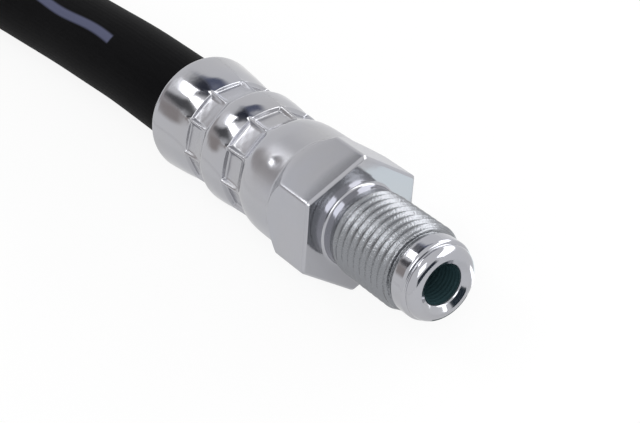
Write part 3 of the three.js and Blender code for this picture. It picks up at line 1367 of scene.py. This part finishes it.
    def _wrap(self, made: bpy.types.Object, free: Array, turn: Array) -> None:
        """Lay millimetres round the hose, from the stripe's middle, and along it in a UV map.

        Args:
            made: The hose.
            free: How far each section is from the nearer mouth.
            turn: The direction of each of a section's corners, in radians.
        """
        way = np.degrees(turn) - self.stripe_degrees
        arc = np.radians((way + 180) % 360 - 180) * self.radius
        u = np.tile(arc, 2 * len(free))
        v = np.repeat(np.concatenate([free, free[::-1]]), self.around)
        layer = made.data.uv_layers.new(name="wrap_mm")
        corners = np.zeros(len(made.data.loops), dtype=np.int64)
        made.data.loops.foreach_get("vertex_index", corners)
        pairs = np.stack([u[corners], v[corners]], 1).astype(np.float32)
        layer.data.foreach_set("uv", pairs.reshape(-1))


# The studio


@dataclass(frozen=True)
class Panel:
    """A flat panel in a direction from the fitting that the camera sees."""

    name: str
    azimuth: float
    elevation: float
    spread: Pair
    level: float
    colour: str = "ffffff"
    roll: float = 0.0
    distance: float = 0.6

    def size(self) -> Pair:
        """Give its width and height in metres, from the angles that it spreads over."""
        wide, high = (2 * self.distance * math.tan(math.radians(a) / 2) for a in self.spread)
        return wide, high

    def place(self, made: bpy.types.Object, aim: Vector) -> None:
        """Stand it in its direction.

        Args:
            made: The lamp or mesh.
            aim: The point that it faces, in metres.
        """
        around, up = math.radians(self.azimuth), math.radians(self.elevation)
        flat = math.cos(up)
        way = Vector((flat * math.cos(around), flat * math.sin(around), math.sin(up)))
        turn = way.to_track_quat("Z", "Y").to_matrix().to_4x4()
        roll = Matrix.Rotation(math.radians(self.roll), 4, "Z")
        made.matrix_world = Matrix.Translation(aim + way * self.distance) @ turn @ roll


@dataclass(frozen=True)
class Softbox(Panel):
    """A lamp whose face shows in the metal."""

    def add(self, aim: Vector) -> None:
        """Add an area lamp whose surface has the panel's level.

        Args:
            aim: The point that it faces, in metres.
        """
        data = bpy.data.lights.new(self.name, "AREA")
        data.shape = "RECTANGLE"
        data.size, data.size_y = self.size()
        data.energy = self.level * math.pi * data.size * data.size_y
        data.color = linear(self.colour)[:3]
        lamp = bpy.data.objects.new(self.name, data)
        lamp.visible_camera = False
        bpy.context.scene.collection.objects.link(lamp)
        self.place(lamp, aim)


@dataclass(frozen=True)
class Flag(Panel):
    """A panel that only mirrors see, whose edges fade over a soft share of its half width."""

    soft: float = 0.6

    def add(self, aim: Vector) -> None:
        """Add the panel."""
        corners = rectangle(*(side / 2 for side in self.size()))
        self.place(add_mirror_panel(self.name, corners, self.level, self.colour, self.soft), aim)


@dataclass(frozen=True)
class TableCard:
    """A card that lies on the floor before the neck, which only mirrors see."""

    name: str
    azimuths: Pair
    reach_mm: Pair
    level: float
    colour: str = "ffffff"
    centre_mm: Pair = (145.0, 22.2)
    height_mm: float = 0.08

    def add(self) -> None:
        """Add the card."""
        near, far = self.reach_mm
        start, end = (math.radians(a) for a in self.azimuths)
        corners = []
        for reach, way in ((near, start), (far, start), (far, end), (near, end)):
            x = self.centre_mm[0] + reach * math.cos(way)
            y = self.centre_mm[1] + reach * math.sin(way)
            corners.append((x, y, self.height_mm))
        add_mirror_panel(self.name, np.array(corners) * MM, self.level, self.colour)


def rectangle(wide: float, high: float) -> Array:
    """Give the corners of a level rectangle from its half width and half height."""
    return np.array([(-wide, -high, 0), (wide, -high, 0), (wide, high, 0), (-wide, high, 0)])


def add_mirror_panel(
    name: str, corners: Array, level: float, colour: str, soft: float = 0.0
) -> bpy.types.Object:
    """Add a panel that only mirrors see, with edges that fade out.

    Args:
        name: The panel's name.
        corners: Its four corners.
        level: How bright it shows in a mirror.
        colour: Its tint, as sRGB hex.
        soft: How much of the way from its edges to its middle fades, from 0 to 1.

    Returns:
        The panel.
    """
    made = new_mesh_object(name, corners, [(0, 1, 2, 3)])
    material, tree = new_material(name)
    inputs = {"Color": linear(colour), "Strength": level}
    shade = add_node(tree, "ShaderNodeEmission", inputs=inputs).outputs[0]
    if soft > 0:
        clear = add_node(tree, "ShaderNodeBsdfTransparent").outputs[0]
        inputs = {0: inner_share(tree, soft), 1: clear, 2: shade}
        shade = add_node(tree, "ShaderNodeMixShader", inputs=inputs).outputs[0]
    set_output(tree, shade)
    made.data.materials.append(material)
    made.visible_camera = False
    made.visible_diffuse = False
    made.visible_shadow = False
    return made


def inner_share(tree: Tree, soft: float) -> Link:
    """Return 1 in the middle of a flat panel, fading to 0 at its edges.

    Args:
        tree: The node tree to add to.
        soft: How much of the way from the edges to the middle fades, from 0 to 1.

    Returns:
        The socket that holds the share.
    """
    place = add_node(tree, "ShaderNodeTexCoord").outputs["Generated"]
    sides = add_node(tree, "ShaderNodeSeparateXYZ", inputs={0: place}).outputs
    shares = []
    for side in sides[:2]:
        off = add_math(tree, "ABSOLUTE", add_math(tree, "SUBTRACT", side, 0.5))
        shares.append(add_ramp(tree, off, 0.5, 0.5 * (1 - soft), kind="SMOOTHSTEP"))
    return add_math(tree, "MULTIPLY", *shares)


@dataclass
class Studio:
    """The floor, the lamps, the surroundings and the camera."""

    camera_mm: Triple = (265.02, -19.16, 125.87)
    right: Triple = (0.5697, 0.7423, -0.3529)
    up: Triple = (-0.4172, 0.6311, 0.6540)
    lens_mm: float = 93.43
    sensor_mm: float = 36.0
    clip_m: Pair = (0.005, 50.0)
    aim_mm: Triple = (135.0, 22.2, 9.0)
    half_floor_m: float = 6.0
    world_light: float = 0.75
    panels: tuple[Softbox | Flag, ...] = (
        Softbox("key", 184, 52, (15.5, 7), 6.0),
        Softbox("high_key", 202.5, 60.5, (12.5, 8), 6.0, roll=38.0),
        Softbox("back", 72, 16, (82, 30), 3.0, distance=0.8),
        Softbox("front", -17, 42, (26, 30), 3.0),
        Flag("key_flag", 212, 47, (17, 28), 0.14, "f0f0f4", 0.0, 0.68),
        Flag("mid_flag", 201, 31, (33, 26), 0.62, "f6f0ee", 0.0, 0.72, 0.5),
        Flag("side_flag", 223, 28, (28, 16), 0.5, "f6ece8", -50.0, 0.76),
        Flag("hose_flag", 161, 52.5, (34, 15), 0.06, "c8d4ff", 28.0, 0.66, 0.45),
        Flag("far_flag", 137, 39.5, (30, 12), 0.25, "c8d4ff", 30.0, 0.7),
        Flag("camera_flag", -3, 3, (46, 24), 0.09, "a8c4dc", 0.0, 0.14, 0.3),
    )
    cards: tuple[TableCard, ...] = (
        TableCard("dark_card", (-12, 14), (10.5, 14), 0.12, "a8d0d8"),
        TableCard("white_card", (21, 28), (9, 20), 3.0),
        TableCard("pale_card", (29, 60), (8, 16), 1.5, "f0f8f8"),
    )

    def add_camera(self) -> None:
        """Add the camera at the photograph's place, angle and lens."""
        data = bpy.data.cameras.new("camera")
        data.sensor_fit = "HORIZONTAL"
        data.sensor_width = self.sensor_mm
        data.lens = self.lens_mm
        data.clip_start, data.clip_end = self.clip_m
        camera = bpy.data.objects.new("camera", data)
        right, up = Vector(self.right).normalized(), Vector(self.up).normalized()
        back = right.cross(up).normalized()
        up = back.cross(right)
        turn = Matrix((right, up, back)).transposed().to_4x4()
        camera.matrix_world = Matrix.Translation(Vector(self.camera_mm) * MM) @ turn
        bpy.context.scene.collection.objects.link(camera)
        bpy.context.scene.camera = camera

    def add_floor(self) -> None:
        """Add the plain pale floor."""
        corners = rectangle(self.half_floor_m, self.half_floor_m)
        floor = new_mesh_object("floor", corners, [(0, 1, 2, 3)])
        floor.data.materials.append(StudioFloor().build())

    def add_panels(self) -> None:
        """Add the softboxes, the flags and the cards."""
        for panel in self.panels:
            panel.add(Vector(self.aim_mm) * MM)
        for card in self.cards:
            card.add()

    def add_world(self) -> None:
        """Surround the scene with white that the eye and mirrors see, and a dimmer light."""
        world = bpy.data.worlds.new("studio")
        bpy.context.scene.world = world
        world.use_nodes = True
        tree = world.node_tree
        tree.nodes.clear()
        strength = add_ramp(tree, seen_directly(tree), 0.0, 1.0, (self.world_light, 1.0))
        inputs = {"Color": WHITE, "Strength": strength}
        shell = add_node(tree, "ShaderNodeBackground", inputs=inputs).outputs[0]
        add_node(tree, "ShaderNodeOutputWorld", inputs={"Surface": shell})


def dress_inserts(material: bpy.types.Material) -> None:
    """Give the two inserts their steel finish.

    Args:
        material: The finish.
    """
    for name in ("front_insert", "rear_insert"):
        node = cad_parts[name]
        node.data.materials.clear()
        node.data.materials.append(material)
        node.data.polygons.foreach_set("use_smooth", np.zeros(len(node.data.polygons), dtype=bool))
        LOG.info("%s: carried over from the CAD model", name)


def main() -> None:
    """Build the camera, the hose, the fittings and the studio, in that order."""
    bpy.context.scene.view_settings.view_transform = "Standard"
    finishes = build_finishes()
    studio = Studio()
    studio.add_camera()
    hose = Hose(finishes[Finish.RUBBER])
    hose.build(Skirt())
    for name, mouth, heading in (
        ("front", (112.9, 22.2, 7.15), 0.0),
        ("rear", (-112.9, -22.2, 7.15), 180.0),
    ):
        fitting = EndFitting(
            f"{name}_end", f"{name}_fitting", mouth, heading, finishes[Finish.ZINC]
        )
        made = fitting.build()
        LOG.info("%s: %d faces", made.name, len(made.data.polygons))
    dress_inserts(finishes[Finish.STEEL])
    studio.add_floor()
    studio.add_panels()
    studio.add_world()


if __name__ == "__main__":
    main()
